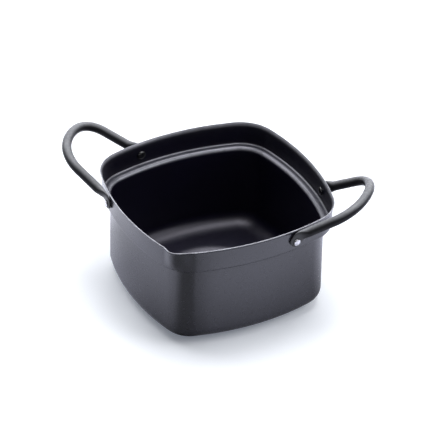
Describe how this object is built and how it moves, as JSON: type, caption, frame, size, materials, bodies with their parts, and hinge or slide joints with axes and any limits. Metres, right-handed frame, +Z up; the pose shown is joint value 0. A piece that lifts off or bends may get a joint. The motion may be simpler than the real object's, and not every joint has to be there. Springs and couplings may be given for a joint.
{
  "type": "deep fryer pot",
  "caption": "Square deep-fry pot of coated pressed steel with rounded corners, a ledge below the rim, a corner spout and riveted tube loop handles, for frying in oil on a stove.",
  "frame": {"origin": "on the pot's axis, at the level of the surface that it stands on", "axes": "+Z up; the handles straddle the corners on +X and -X, and the pouring spout is in the corner on -Y"},
  "size_m": [0.3126, 0.2405, 0.1468],
  "materials": {
    "pot_coat": "satin black heat-proof coating on pressed steel sheet, with a fine even texture",
    "handle_coat": "satin black coating on bent steel tube, a little darker than the pot",
    "rivet_steel": "bare steel, bright on the formed outer head and blackened on the inner head"
  },
  "bodies": {
    "root": {"pot_body": "pot_coat", "handle_left": "handle_coat", "handle_right": "handle_coat", "rivet_left_front": "rivet_steel", "rivet_left_back": "rivet_steel", "rivet_right_front": "rivet_steel", "rivet_right_back": "rivet_steel"}
  },
  "joints": []
}
